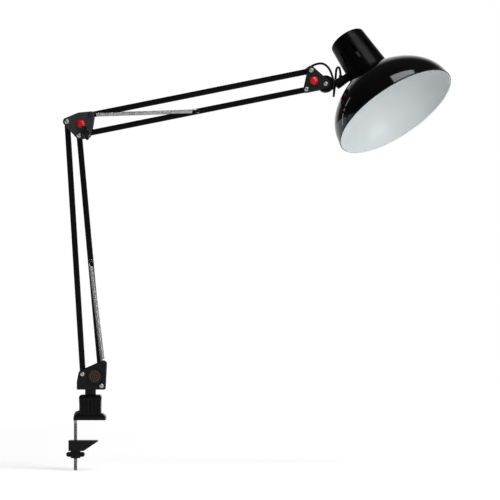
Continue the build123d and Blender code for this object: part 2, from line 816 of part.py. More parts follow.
# Base disc and the countersunk screws that hold it under the housing
disc = Pos(0, 0, shade_height) * Cylinder(base_radius, base_thickness, align=standing)
disc -= Pos(0, 0, shade_height) * Cylinder(shade_hole_radius, 4 * base_thickness)
screws = []
for place in screw_spots:
    seat = place * Pos(post_ring_radius, 0, 0)
    shank = Cylinder(screw_diameter / 2, screw_post_height / 2, align=standing)
    head_cone = Pos(0, 0, -base_thickness / 2) * Cone(
        screw_head_diameter / 2, screw_diameter / 2, base_thickness
    )
    disc -= seat * head_cone
    screws.append((seat * (shank + head_cone)).solid())
nodes["housing_base"] = head_frame * disc
nodes["housing_screws"] = Compound([(head_frame * screw).solid() for screw in screws])

# Lampholder: flanged insulator through base and shade, screw shell and centre contact inside
holder_bottom = shade_height - holder_drop
shell_bottom = holder_bottom + holder_mouth_depth
shell_top = shell_bottom + shell_length
well_top = shell_top + well_depth
holder_profile = Polyline(
    (0, well_top),
    (well_radius, well_top),
    (well_radius, shell_top),
    (shell_radius + running_fit, shell_top),
    (shell_radius + running_fit, shell_bottom),
    (holder_mouth_radius, shell_bottom),
    (holder_mouth_radius, holder_bottom),
    (holder_radius, holder_bottom),
    (holder_radius, base_top),
    (holder_flange_radius, base_top),
    (holder_flange_radius, base_top + holder_flange),
    (holder_radius, base_top + holder_flange),
    (holder_radius, base_top + holder_height),
    (0, base_top + holder_height),
    close=True,
)
nodes["lampholder"] = head_frame * revolve(Plane.XZ * make_face(holder_profile), Axis.Z)
shell_outline = Circle(shell_radius) - Circle(shell_radius - shell_wall)
nodes["screw_shell"] = head_frame * Pos(0, 0, shell_bottom) * extrude(shell_outline, shell_length)
tongue_step = contact_length / 2
strip = Polyline(
    (-tongue_step, well_top),
    (-tongue_step, well_top - contact_thickness),
    (0, well_top - contact_drop),
    (tongue_step, well_top - contact_drop),
    (tongue_step, well_top - contact_drop + contact_thickness),
    (contact_thickness, well_top - contact_drop + contact_thickness),
    (-tongue_step + 2 * contact_thickness, well_top),
    close=True,
)
nodes["centre_contact"] = head_frame * slab(make_face(strip), -contact_width / 2, contact_width / 2)

# Ring screwed on the lampholder under the shade
ring_top = shade_height - shade_wall
ring_outline = Circle(ring_radius) - Circle(holder_radius + running_fit)
ring = Pos(0, 0, ring_top) * extrude(ring_outline, -ring_height)
nodes["shade_ring"] = head_frame * ring

# Lead from the grommet in the top tube round the head joint to the gland on the neck
lead_start = lead_root + lead_way * grommet_length
lead_end = gland_root + gland_way * gland_length
lead_points = [
    lead_start,
    lead_start + lead_way * grommet_straight,
    (317.0, -2.0, 498.2),
    (325.5, -5.5, 498.8),
    (333.5, -10.5, 492.5),
    (338.2, -14.2, 481.0),
    (340.8, -15.2, 468.5),
    (340.6, -11.0, 456.5),
    (340.4, 0.0, 451.8),
    (341.0, 11.0, 456.5),
    (342.6, 15.2, 468.0),
    (343.6, 15.0, 480.5),
    (344.4, 13.4, 493.4),
    (348.6, 2.0, 494.0),
    lead_end + gland_way * gland_straight,
    lead_end,
]
lead_points = [Vector(p) for p in lead_points]
bends = []
for before, corner, after in zip(lead_points, lead_points[1:], lead_points[2:]):
    shorter = min((corner - before).length, (after - corner).length)
    half_turn = math.radians((corner - before).get_angle(after - corner)) / 2
    bends.append(0.45 * shorter / math.tan(half_turn))
lead_path = FilletPolyline(*lead_points, radius=bends)
print("lead radii", [round(r, 1) for r in bends], f"length {lead_path.length:.1f} mm")
nodes["head_lead"] = swept(lead_path, lead_diameter)
print(f"lead: {fill_share(nodes['head_lead'], lead_path, lead_diameter):.4f} of the tube's volume")

os.makedirs("parts", exist_ok=True)
for name, solid in nodes.items():
    export_step(solid, f"parts/{name}.step")
print(len(nodes), "nodes")
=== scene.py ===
"""Dresses a table-clamp architect lamp: stage, lead, springs, shade, hook bolt, roundel and finishes."""

import json
import math

import bpy
from mathutils import Matrix, Vector
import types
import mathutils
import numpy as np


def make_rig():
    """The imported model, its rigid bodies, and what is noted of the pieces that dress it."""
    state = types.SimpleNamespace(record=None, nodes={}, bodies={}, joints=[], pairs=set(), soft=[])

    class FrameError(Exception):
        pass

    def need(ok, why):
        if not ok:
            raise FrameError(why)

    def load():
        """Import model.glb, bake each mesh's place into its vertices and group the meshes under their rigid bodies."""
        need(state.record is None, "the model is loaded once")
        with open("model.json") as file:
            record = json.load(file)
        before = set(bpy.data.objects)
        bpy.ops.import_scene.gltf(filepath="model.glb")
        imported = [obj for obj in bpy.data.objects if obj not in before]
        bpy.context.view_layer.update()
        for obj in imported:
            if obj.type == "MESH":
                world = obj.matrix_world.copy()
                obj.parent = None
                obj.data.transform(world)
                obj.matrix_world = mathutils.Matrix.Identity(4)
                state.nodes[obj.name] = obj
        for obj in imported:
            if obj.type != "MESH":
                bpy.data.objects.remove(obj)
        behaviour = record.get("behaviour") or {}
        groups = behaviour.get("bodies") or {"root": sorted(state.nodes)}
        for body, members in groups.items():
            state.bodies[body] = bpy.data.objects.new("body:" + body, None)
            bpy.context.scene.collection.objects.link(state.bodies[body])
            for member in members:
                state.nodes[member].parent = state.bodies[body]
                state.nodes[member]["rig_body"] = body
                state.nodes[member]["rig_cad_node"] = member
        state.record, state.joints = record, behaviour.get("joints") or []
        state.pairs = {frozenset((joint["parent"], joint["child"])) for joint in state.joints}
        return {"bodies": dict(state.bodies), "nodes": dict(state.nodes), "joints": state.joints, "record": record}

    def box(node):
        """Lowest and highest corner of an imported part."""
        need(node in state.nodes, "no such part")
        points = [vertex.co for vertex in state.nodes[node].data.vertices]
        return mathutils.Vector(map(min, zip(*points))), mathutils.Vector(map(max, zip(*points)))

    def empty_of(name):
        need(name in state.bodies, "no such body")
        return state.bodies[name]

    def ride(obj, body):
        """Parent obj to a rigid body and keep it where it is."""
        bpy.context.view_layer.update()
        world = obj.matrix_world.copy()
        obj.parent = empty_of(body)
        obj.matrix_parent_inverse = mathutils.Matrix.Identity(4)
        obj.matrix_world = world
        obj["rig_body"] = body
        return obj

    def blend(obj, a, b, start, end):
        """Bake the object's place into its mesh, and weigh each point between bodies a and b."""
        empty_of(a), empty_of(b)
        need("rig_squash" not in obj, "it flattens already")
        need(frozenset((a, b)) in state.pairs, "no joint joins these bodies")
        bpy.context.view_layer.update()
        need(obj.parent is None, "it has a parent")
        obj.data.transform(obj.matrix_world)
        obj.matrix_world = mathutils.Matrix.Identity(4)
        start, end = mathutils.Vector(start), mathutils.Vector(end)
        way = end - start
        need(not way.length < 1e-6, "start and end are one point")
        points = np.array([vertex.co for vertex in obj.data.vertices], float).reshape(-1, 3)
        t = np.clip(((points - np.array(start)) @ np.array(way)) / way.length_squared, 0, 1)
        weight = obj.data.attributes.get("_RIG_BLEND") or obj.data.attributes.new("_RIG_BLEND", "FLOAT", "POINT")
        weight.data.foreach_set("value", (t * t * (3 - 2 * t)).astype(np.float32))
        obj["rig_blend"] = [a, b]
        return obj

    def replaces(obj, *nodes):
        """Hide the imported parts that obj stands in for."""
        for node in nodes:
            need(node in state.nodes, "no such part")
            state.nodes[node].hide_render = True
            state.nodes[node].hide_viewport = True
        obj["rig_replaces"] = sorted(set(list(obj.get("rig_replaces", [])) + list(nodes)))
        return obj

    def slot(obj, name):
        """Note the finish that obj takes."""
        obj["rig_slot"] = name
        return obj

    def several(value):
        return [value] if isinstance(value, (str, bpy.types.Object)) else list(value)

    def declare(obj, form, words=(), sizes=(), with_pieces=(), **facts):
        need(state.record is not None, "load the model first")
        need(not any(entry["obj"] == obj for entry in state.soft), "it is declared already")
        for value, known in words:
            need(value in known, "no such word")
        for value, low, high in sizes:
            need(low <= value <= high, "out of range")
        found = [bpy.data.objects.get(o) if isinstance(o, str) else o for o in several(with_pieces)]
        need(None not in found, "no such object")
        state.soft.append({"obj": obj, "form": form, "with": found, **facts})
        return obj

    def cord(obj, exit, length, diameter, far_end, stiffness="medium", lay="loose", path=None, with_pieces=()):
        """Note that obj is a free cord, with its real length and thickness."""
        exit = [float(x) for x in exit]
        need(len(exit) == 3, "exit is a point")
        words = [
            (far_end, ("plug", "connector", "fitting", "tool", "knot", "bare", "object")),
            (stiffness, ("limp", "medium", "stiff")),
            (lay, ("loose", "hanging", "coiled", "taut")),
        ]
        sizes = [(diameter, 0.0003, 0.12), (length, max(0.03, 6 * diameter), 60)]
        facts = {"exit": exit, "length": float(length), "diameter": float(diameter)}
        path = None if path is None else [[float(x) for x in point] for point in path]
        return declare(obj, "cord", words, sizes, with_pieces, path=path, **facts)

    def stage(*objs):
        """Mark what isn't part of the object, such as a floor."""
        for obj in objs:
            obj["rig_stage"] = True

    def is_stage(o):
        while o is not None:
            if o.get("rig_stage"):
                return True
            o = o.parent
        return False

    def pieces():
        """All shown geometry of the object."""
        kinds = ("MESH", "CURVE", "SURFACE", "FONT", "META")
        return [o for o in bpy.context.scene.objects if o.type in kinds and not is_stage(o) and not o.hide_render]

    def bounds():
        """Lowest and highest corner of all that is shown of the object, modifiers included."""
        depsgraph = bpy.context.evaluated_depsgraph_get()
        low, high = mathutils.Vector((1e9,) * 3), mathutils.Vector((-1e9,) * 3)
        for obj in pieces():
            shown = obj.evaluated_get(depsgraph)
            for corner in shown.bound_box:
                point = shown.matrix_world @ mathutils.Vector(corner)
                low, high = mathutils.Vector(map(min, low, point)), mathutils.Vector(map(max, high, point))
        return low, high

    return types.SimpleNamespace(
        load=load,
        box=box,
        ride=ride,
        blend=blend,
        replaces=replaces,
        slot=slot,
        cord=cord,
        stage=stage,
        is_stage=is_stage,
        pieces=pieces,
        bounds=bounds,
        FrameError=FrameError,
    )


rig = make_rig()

bl_info = {
    "name": "Architect lamp",
    "version": (1, 0, 0),
    "blender": (4, 5, 0),
    "location": "View3D > Sidebar > Lamp",
    "description": "Builds the visible pieces and the finishes of a table-clamp architect lamp",
    "category": "Object",
}

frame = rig.load()
SOLIDS_BOX = [list(corner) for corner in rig.bounds()]
JOINTS = {joint["name"]: joint for joint in frame["joints"]}
MOUNTS = {mount["name"]: mount for mount in frame["record"]["mounts"]}
SIZE_FILE = "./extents.json"
MM = 0.001
# Points of a mesh nearer than this are one
WELD_REACH = 0.001 * MM
# Edges of the solids sharper than this stay crisp
CRISP_ANGLE = math.radians(30)


# Places taken from the frame
def pivot(joint):
    """Where a joint turns."""
    return Vector(JOINTS[joint]["pos_m"])


def middle(node):
    """Centre of a solid's box."""
    low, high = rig.box(node)
    return (low + high) / 2


HEAD_UP = -Vector(MOUNTS["lamp_socket"]["axis"])
NECK_ALONG = Vector(JOINTS["head_swivel"]["axis"])
FLOOR_HEIGHT = SOLIDS_BOX[0][2]


# Sizes and colours that a user would change
class LampStage(bpy.types.PropertyGroup):
    camera_distance: bpy.props.FloatProperty(
        name="Camera distance", description="Camera to the plane of the arms", default=5.0, unit="LENGTH"
    )
    view_width: bpy.props.FloatProperty(
        name="View width", description="Width seen in the plane of the arms", default=0.7, unit="LENGTH"
    )
    view_centre: bpy.props.FloatVectorProperty(
        name="View centre", description="Middle of the view", default=(0.2233, 0.0, 0.2376), unit="LENGTH"
    )
    floor_size: bpy.props.FloatProperty(
        name="Floor size", description="Side of the floor", default=40.0, unit="LENGTH"
    )
    floor_colour: bpy.props.FloatVectorProperty(
        name="Floor", description="Colour of floor and background", default=(1.0, 1.0, 1.0), subtype="COLOR"
    )
    floor_tone: bpy.props.FloatProperty(
        name="Floor tone", description="Share of light given back", default=0.6, min=0.0, max=1.0
    )
    near_glow: bpy.props.FloatProperty(
        name="Near glow", description="White added to the floor under the lamp", default=0.6, min=0.0
    )
    far_glow: bpy.props.FloatProperty(
        name="Far glow", description="White added to the floor far away", default=0.88, min=0.0
    )
    lit_radius: bpy.props.FloatProperty(
        name="Lit radius", description="Reach of the lights on the floor", default=2.0, unit="LENGTH"
    )
    ambient: bpy.props.FloatProperty(
        name="Ambient", description="Strength of the light from all round", default=0.22, min=0.0
    )
    room_light: bpy.props.FloatProperty(
        name="Room", description="Brightness of the room in reflections", default=0.05, min=0.0
    )
    top_power: bpy.props.FloatProperty(
        name="Top light", description="Power of the soft light overhead", default=9.0, unit="POWER"
    )
    side_power: bpy.props.FloatProperty(
        name="Side light", description="Power of the large light on the right", default=12.5, unit="POWER"
    )
    strip_power: bpy.props.FloatProperty(
        name="Strip light", description="Power of the narrow light behind", default=0.6, unit="POWER"
    )


class LampLead(bpy.types.PropertyGroup):
    diameter: bpy.props.FloatProperty(
        name="Diameter", description="Thickness of the lead", default=3.2 * MM, unit="LENGTH"
    )
    first_length: bpy.props.FloatProperty(
        name="First stretch", description="Length that follows the top tube", default=32 * MM, unit="LENGTH"
    )
    colour: bpy.props.FloatVectorProperty(
        name="Rubber", description="Colour of the lead", default=(0.004, 0.004, 0.004), subtype="COLOR"
    )


class LampSprings(bpy.types.PropertyGroup):
    wire: bpy.props.FloatProperty(
        name="Wire", description="Thickness of the wire", default=1 * MM, unit="LENGTH"
    )
    diameter: bpy.props.FloatProperty(
        name="Coil", description="Outside of the coil", default=6 * MM, unit="LENGTH"
    )
    pitch: bpy.props.FloatProperty(
        name="Pitch", description="Step from turn to turn", default=1.6 * MM, unit="LENGTH"
    )
    neck: bpy.props.FloatProperty(
        name="Neck", description="From the pin's centre to the first turn", default=7 * MM, unit="LENGTH"
    )
    depth: bpy.props.FloatProperty(
        name="Depth", description="Middle of the tube to that of the coil", default=7.7 * MM, unit="LENGTH"
    )
    play: bpy.props.FloatProperty(
        name="Hook play", description="Gap between hook and pin", default=0.3 * MM, unit="LENGTH"
    )
    post: bpy.props.FloatProperty(
        name="Post", description="Thickness of the turret's posts", default=3.6 * MM, unit="LENGTH"
    )
    spacer: bpy.props.FloatProperty(
        name="Spacer", description="Thickness of the elbow's spacers", default=7 * MM, unit="LENGTH"
    )
    pin: bpy.props.FloatProperty(
        name="Pin", description="Thickness of the pins in the tubes", default=3 * MM, unit="LENGTH"
    )


class LampShade(bpy.types.PropertyGroup):
    radius: bpy.props.FloatProperty(
        name="Radius", description="Radius at the rim", default=90 * MM, unit="LENGTH"
    )
    height: bpy.props.FloatProperty(
        name="Height", description="Rim to crown", default=67.2 * MM, unit="LENGTH"
    )
    crown_radius: bpy.props.FloatProperty(
        name="Crown", description="Radius of the flat crown", default=31 * MM, unit="LENGTH"
    )
    hole_radius: bpy.props.FloatProperty(
        name="Hole", description="Radius of the hole in the crown", default=20.3 * MM, unit="LENGTH"
    )
    crown_slope: bpy.props.FloatProperty(
        name="Slope", description="Fall at the crown", default=math.radians(23.5), subtype="ANGLE"
    )
    crown_pull: bpy.props.FloatProperty(
        name="Crown pull", description="Roundness near the crown", default=30.91 * MM, unit="LENGTH"
    )
    rim_pull: bpy.props.FloatProperty(
        name="Rim pull", description="Roundness near the rim", default=33.67 * MM, unit="LENGTH"
    )
    wall: bpy.props.FloatProperty(
        name="Wall", description="Thickness of the sheet", default=1 * MM, unit="LENGTH"
    )
    bead: bpy.props.FloatProperty(
        name="Bead", description="Radius of the rolled rim", default=1.2 * MM, unit="LENGTH"
    )
    socket_height: bpy.props.FloatProperty(
        name="Socket height", description="Rim to the socket's middle", default=73.2 * MM, unit="LENGTH"
    )


class LampRod(bpy.types.PropertyGroup):
    diameter: bpy.props.FloatProperty(
        name="Diameter", description="Thickness of the hook bolt", default=5 * MM, unit="LENGTH"
    )
    pitch: bpy.props.FloatProperty(
        name="Pitch", description="Step of the thread", default=0.8 * MM, unit="LENGTH"
    )
    plain_length: bpy.props.FloatProperty(
        name="Plain length", description="Shank without a thread", default=9 * MM, unit="LENGTH"
    )
    bend_radius: bpy.props.FloatProperty(
        name="Bend", description="Radius of the hook's bend", default=5.5 * MM, unit="LENGTH"
    )


class LampRoundel(bpy.types.PropertyGroup):
    radius: bpy.props.FloatProperty(
        name="Radius", description="Radius of the roundel", default=11 * MM, unit="LENGTH"
    )
    thickness: bpy.props.FloatProperty(
        name="Thickness", description="Height of its rim over the plate", default=1.5 * MM, unit="LENGTH"
    )
    ring_count: bpy.props.IntProperty(
        name="Rings", description="Raised rings inside the rim", default=2, min=1
    )
    bead_count: bpy.props.IntProperty(
        name="Beads", description="Beads between the last ring and the rim", default=20, min=3
    )


class LampFinishes(bpy.types.PropertyGroup):
    plastic: bpy.props.FloatVectorProperty(
        name="Black plastic", description="Clamp, knob", default=(0.003, 0.003, 0.0033), subtype="COLOR"
    )
    paint: bpy.props.FloatVectorProperty(
        name="Black paint", description="Tubes of the arms", default=(0.002, 0.002, 0.002), subtype="COLOR"
    )
    gloss: bpy.props.FloatVectorProperty(
        name="Gloss black", description="Shade and housing", default=(0.002, 0.002, 0.002), subtype="COLOR"
    )
    charcoal: bpy.props.FloatVectorProperty(
        name="Charcoal", description="Bracket plates and jaw", default=(0.006, 0.006, 0.006), subtype="COLOR"
    )
    # Painted light: the elbow's plates, top bolt and nut take the bracket charcoal made lighter to stand in for light
    # falling on the elbow; the slight blue tint is their own
    painted_light_slate: bpy.props.FloatVectorProperty(
        name="Slate", description="Plates of the elbow", default=(0.03, 0.03, 0.034), subtype="COLOR"
    )
    enamel: bpy.props.FloatVectorProperty(
        name="White enamel", description="Inside of the shade", default=(0.84, 0.885, 0.89), subtype="COLOR"
    )
    red: bpy.props.FloatVectorProperty(
        name="Red caps", description="Caps of the brackets", default=(0.62, 0.008, 0.014), subtype="COLOR"
    )
    steel: bpy.props.FloatVectorProperty(
        name="Bright steel", description="Screws and springs", default=(0.5, 0.5, 0.51), subtype="COLOR"
    )
    zinc: bpy.props.FloatVectorProperty(
        name="Zinc", description="Hook bolt", default=(0.3, 0.3, 0.31), subtype="COLOR"
    )
    bronze: bpy.props.FloatVectorProperty(
        name="Bronze", description="Rings of the roundel", default=(0.14, 0.09, 0.065), subtype="COLOR"
    )
    brass: bpy.props.FloatVectorProperty(
        name="Brass", description="Contacts and insert", default=(0.75, 0.58, 0.3), subtype="COLOR"
    )
    ceramic: bpy.props.FloatVectorProperty(
        name="Ceramic", description="Lampholder", default=(0.74, 0.73, 0.69), subtype="COLOR"
    )


# Work at the bench
def put_down():
    """Nothing selected, object mode."""
    if bpy.context.object and bpy.context.object.mode != "OBJECT":
        bpy.ops.object.mode_set(mode="OBJECT")
    bpy.ops.object.select_all(action="DESELECT")


def pick_up(piece):
    """Only this piece selected and active."""
    put_down()
    piece.select_set(True)
    bpy.context.view_layer.objects.active = piece


def apply_modifiers(piece):
    """Every modifier becomes part of the mesh."""
    pick_up(piece)
    for modifier in list(piece.modifiers):
        bpy.ops.object.modifier_apply(modifier=modifier.name)


def settle(piece, place):
    """Moves a finished piece to its place and leaves the place in its mesh."""
    pick_up(piece)
    piece.matrix_world = place
    bpy.ops.object.transform_apply(location=True, rotation=True, scale=True)


def join(pieces):
    """Makes the pieces one mesh, the first of them."""
    put_down()
    for piece in pieces:
        piece.select_set(True)
    bpy.context.view_layer.objects.active = pieces[0]
    bpy.ops.object.join()
    return bpy.context.object


def smooth_faces(piece, degrees):
    """Smooth shading apart from edges sharper than the angle."""
    pick_up(piece)
    bpy.ops.object.shade_smooth_by_angle(angle=math.radians(degrees))


def line_through(name, points, smooth):
    """Open curve on the points: a smooth one is drawn towards them, a plain one passes through."""
    put_down()
    bpy.ops.curve.primitive_nurbs_path_add()
    line = bpy.context.object
    line.name = name
    spline = line.data.splines[0]
    spline.points.add(len(points) - len(spline.points))
    for place, point in zip(spline.points, points):
        place.co = (*point, 1)
    if smooth:
        spline.order_u = 3
        spline.use_endpoint_u = True
    else:
        spline.type = "POLY"
    return line


def run_points(line):
    """Points along a smooth curve, read from Blender."""
    sampled = bpy.data.meshes.new_from_object(line)
    points = [vertex.co.copy() for vertex in sampled.vertices]
    bpy.data.meshes.remove(sampled)
    return points


def run_length(points):
    """Length of a run of points."""
    return sum((b - a).length for a, b in zip(points, points[1:]))


def as_mesh(curve):
    """Turns a curve into a mesh."""
    pick_up(curve)
    bpy.ops.object.convert(target="MESH")
    return bpy.context.object


def wire_mesh(line, diameter, roundness):
    """Turns a curve into a round bar."""
    line.data.bevel_depth = diameter / 2
    line.data.bevel_resolution = roundness
    line.data.use_fill_caps = True
    bar = as_mesh(line)
    bpy.ops.object.shade_smooth()
    return bar


def close_mesh(reach):
    """Merges the doubled points of the mesh in edit, turns its faces outwards and ends the edit."""
    bpy.ops.mesh.select_all(action="SELECT")
    bpy.ops.mesh.remove_doubles(threshold=reach)
    bpy.ops.mesh.normals_make_consistent(inside=False)
    bpy.ops.object.mode_set(mode="OBJECT")


def spin_round(steps, reach):
    """Spins the outline in edit once about the upright axis and closes the mesh."""
    bpy.ops.mesh.select_all(action="SELECT")
    bpy.ops.mesh.spin(steps=steps, angle=2 * math.pi, center=(0, 0, 0), axis=(0, 0, 1))
    close_mesh(reach)


def outline_mesh(name, outline):
    """Line of edges through an outline given as radius and height."""
    points = [Vector((radius, 0, height)) for radius, height in outline]
    return as_mesh(line_through(name, points, smooth=False))


def turn_outline(name, outline, steps):
    """Spins an outline into a closed turned piece."""
    piece = outline_mesh(name, outline)
    bpy.ops.object.mode_set(mode="EDIT")
    spin_round(steps, WELD_REACH)
    return piece


# Finishes
def new_group(name, inputs, outputs):
    """Empty shader group with float inputs and outputs, and its two end nodes."""
    group = bpy.data.node_groups.new(name, "ShaderNodeTree")
    for way, labels in (("INPUT", inputs), ("OUTPUT", outputs)):
        for label in labels:
            group.interface.new_socket(label, in_out=way, socket_type="NodeSocketFloat")
    return group, group.nodes.new("NodeGroupInput"), group.nodes.new("NodeGroupOutput")


def surface_group():
    """Fine grain and slow patches that a moulded, painted or rubbed surface shows."""
    group, start, end = new_group("Surface variation", ["Grain Scale", "Patch Scale"], ["Grain", "Patches"])
    add, link = group.nodes.new, group.links.new
    place = add("ShaderNodeTexCoord")
    grain = add("ShaderNodeTexNoise")
    grain.inputs["Detail"].default_value = 3.0
    patches = add("ShaderNodeTexNoise")
    patches.inputs["Detail"].default_value = 5.0
    patches.inputs["Roughness"].default_value = 0.6
    link(place.outputs["Object"], grain.inputs["Vector"])
    link(place.outputs["Object"], patches.inputs["Vector"])
    link(start.outputs["Grain Scale"], grain.inputs["Scale"])
    link(start.outputs["Patch Scale"], patches.inputs["Scale"])
    link(grain.outputs["Fac"], end.inputs["Grain"])
    link(patches.outputs["Fac"], end.inputs["Patches"])
    return group


def finish(
    name, colour, rough, metallic=0.0, specular=0.5, edge=1.0, grain=900.0, patch=40.0, vary=0.25, bump=0.1
):
    """Material whose colour, roughness and relief vary over the surface."""
    material = bpy.data.materials.new(name)
    material.use_nodes = True
    nodes, link = material.node_tree.nodes, material.node_tree.links.new
    shader = nodes["Principled BSDF"]
    shader.inputs["Metallic"].default_value = metallic
    shader.inputs["Specular IOR Level"].default_value = specular
    shader.inputs["Specular Tint"].default_value = (edge, edge, edge, 1)
    surface = nodes.new("ShaderNodeGroup")
    surface.node_tree = bpy.data.node_groups.get("Surface variation") or surface_group()
    surface.inputs["Grain Scale"].default_value = grain
    surface.inputs["Patch Scale"].default_value = patch
    tone = nodes.new("ShaderNodeMix")
    tone.data_type = "RGBA"
    tone.inputs["A"].default_value = (*[c * (1 - vary) for c in colour], 1)
    tone.inputs["B"].default_value = (*[min(1.0, c * (1 + vary)) for c in colour], 1)
    link(surface.outputs["Patches"], tone.inputs["Factor"])
    link(tone.outputs["Result"], shader.inputs["Base Color"])
    sheen = nodes.new("ShaderNodeMapRange")
    sheen.inputs["From Min"].default_value = 0.3
    sheen.inputs["From Max"].default_value = 0.7
    sheen.inputs["To Min"].default_value = rough[0]
    sheen.inputs["To Max"].default_value = rough[1]
    link(surface.outputs["Patches"], sheen.inputs["Value"])
    link(sheen.outputs["Result"], shader.inputs["Roughness"])
    relief = nodes.new("ShaderNodeBump")
    relief.inputs["Strength"].default_value = bump
    relief.inputs["Distance"].default_value = 0.1 * MM
    link(surface.outputs["Grain"], relief.inputs["Height"])
    link(relief.outputs["Normal"], shader.inputs["Normal"])
    return material


def dress(node, material):
    """Gives a solid its finish, with smooth round faces and crisp edges."""
    solid = frame["nodes"][node]
    solid.data.materials.clear()
    solid.data.materials.append(material)
    solid.data.polygons.foreach_set("use_smooth", [True] * len(solid.data.polygons))
    weld = solid.modifiers.new("weld", "WELD")
    weld.merge_threshold = WELD_REACH
    edges = solid.modifiers.new("edges", "EDGE_SPLIT")
    edges.split_angle = CRISP_ANGLE


# Stage
class LAMP_OT_stage(bpy.types.Operator):
    """Sets the camera, the soft lights, the white surroundings and the floor"""

    bl_idname = "lamp.stage"
    bl_label = "Set the stage"

    # Place, target, width and height of each soft light, in metres
    lights = {
        "top": ((0.58, -0.46, 1.45), (0.43, -0.1, 0.48), 0.72, 0.42),
        "side": ((1.22, -0.95, 0.88), (0.42, 0, 0.42), 0.9, 1.2),
        "strip": ((-0.75, 0.55, 0.57), (0.3, 0, 0.4), 0.06, 0.8),
    }
    # Reflections brighten from one to the other; 1 is straight behind the lamp
    dim_until = 0.7
    white_from = 0.97

    def execute(self, context):
        stage = context.scene.lamp_stage
        put_down()
        centre = Vector(stage.view_centre)
        bpy.ops.object.camera_add(
            location=centre - Vector((0, stage.camera_distance, 0)), rotation=(math.pi / 2, 0, 0)
        )
        camera = context.object
        camera.data.lens = camera.data.sensor_width * stage.camera_distance / stage.view_width
        context.scene.camera = camera
        powers = {"top": stage.top_power, "side": stage.side_power, "strip": stage.strip_power}
        for name, setting in self.lights.items():
            self.light(f"{name}_light", *setting, powers[name])
        self.surroundings(context, stage)
        self.floor(stage)
        context.scene.view_settings.view_transform = "Standard"
        return {"FINISHED"}

    def light(self, name, place, target, width, height, power):
        """Rectangular soft light that faces the target."""
        facing = (Vector(target) - Vector(place)).to_track_quat("-Z", "Y").to_euler()
        bpy.ops.object.light_add(type="AREA", location=place, rotation=facing)
        lamp = bpy.context.object
        lamp.name = name
        lamp.data.shape = "RECTANGLE"
        lamp.data.size = width
        lamp.data.size_y = height
        lamp.data.energy = power

    def seen_directly(self, tree):
        """Value that is 1 for rays from the camera, from gloss and through glass."""
        path = tree.nodes.new("ShaderNodeLightPath")
        total = path.outputs["Is Camera Ray"]
        for ray in ("Is Glossy Ray", "Is Transmission Ray"):
            either = tree.nodes.new("ShaderNodeMath")
            either.operation = "MAXIMUM"
            tree.links.new(total, either.inputs[0])
            tree.links.new(path.outputs[ray], either.inputs[1])
            total = either.outputs["Value"]
        return total

    def surroundings(self, context, stage):
        """White background with a softer light for the object."""
        world = bpy.data.worlds.new("surroundings")
        world.use_nodes = True
        context.scene.world = world
        tree = world.node_tree
        lit = tree.nodes["Background"]
        lit.inputs["Color"].default_value = (*stage.floor_colour, 1)
        lit.inputs["Strength"].default_value = stage.ambient
        shown = tree.nodes.new("ShaderNodeBackground")
        shown.inputs["Color"].default_value = (*stage.floor_colour, 1)
        tree.links.new(self.room(tree, stage), shown.inputs["Strength"])
        either = tree.nodes.new("ShaderNodeMixShader")
        tree.links.new(self.seen_directly(tree), either.inputs["Fac"])
        tree.links.new(lit.outputs["Background"], either.inputs[1])
        tree.links.new(shown.outputs["Background"], either.inputs[2])
        tree.links.new(either.outputs["Shader"], tree.nodes["World Output"].inputs["Surface"])

    def room(self, tree, stage):
        """Strength of the background: white to the camera, dim in reflections but for what is behind."""
        place = tree.nodes.new("ShaderNodeTexCoord")
        parts = tree.nodes.new("ShaderNodeSeparateXYZ")
        tree.links.new(place.outputs["Generated"], parts.inputs["Vector"])
        depth = tree.nodes.new("ShaderNodeMapRange")
        depth.interpolation_type = "SMOOTHSTEP"
        depth.inputs["From Min"].default_value = self.dim_until
        depth.inputs["From Max"].default_value = self.white_from
        depth.inputs["To Min"].default_value = stage.room_light
        tree.links.new(parts.outputs["Y"], depth.inputs["Value"])
        path = tree.nodes.new("ShaderNodeLightPath")
        either = tree.nodes.new("ShaderNodeMath")
        either.operation = "MAXIMUM"
        tree.links.new(depth.outputs["Result"], either.inputs[0])
        tree.links.new(path.outputs["Is Camera Ray"], either.inputs[1])
        return either.outputs["Value"]

    def floor(self, stage):
        """Pale floor that keeps the lamp's shadow."""
        bpy.ops.mesh.primitive_plane_add(size=stage.floor_size, location=(0, 0, FLOOR_HEIGHT))
        floor = bpy.context.object
        floor.name = "floor"
        material = bpy.data.materials.new("floor_white")
        material.use_nodes = True
        tree = material.node_tree
        shader = tree.nodes["Principled BSDF"]
        shader.inputs["Base Color"].default_value = (*[stage.floor_tone * c for c in stage.floor_colour], 1)
        shader.inputs["Roughness"].default_value = 0.9
        shader.inputs["Specular IOR Level"].default_value = 0.0
        glow = tree.nodes.new("ShaderNodeEmission")
        glow.inputs["Color"].default_value = (*stage.floor_colour, 1)
        shown = tree.nodes.new("ShaderNodeMath")
        shown.operation = "MULTIPLY"
        tree.links.new(self.seen_directly(tree), shown.inputs[0])
        tree.links.new(self.floor_glow(tree, stage), shown.inputs[1])
        tree.links.new(shown.outputs["Value"], glow.inputs["Strength"])
        both = tree.nodes.new("ShaderNodeAddShader")
        tree.links.new(shader.outputs["BSDF"], both.inputs[0])
        tree.links.new(glow.outputs["Emission"], both.inputs[1])
        tree.links.new(both.outputs["Shader"], tree.nodes["Material Output"].inputs["Surface"])
        floor.data.materials.append(material)
        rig.stage(floor)

    def floor_glow(self, tree, stage):
        """Makes up for the lights' falling strength, so that the floor is white but for the shadow."""
        place = tree.nodes.new("ShaderNodeTexCoord")
        distance = tree.nodes.new("ShaderNodeVectorMath")
        distance.operation = "LENGTH"
        tree.links.new(place.outputs["Object"], distance.inputs["Vector"])
        rise = tree.nodes.new("ShaderNodeMapRange")
        rise.inputs["From Max"].default_value = stage.lit_radius
        rise.inputs["To Min"].default_value = stage.near_glow
        rise.inputs["To Max"].default_value = stage.far_glow
        tree.links.new(distance.outputs["Value"], rise.inputs["Value"])
        return rise.outputs["Result"]


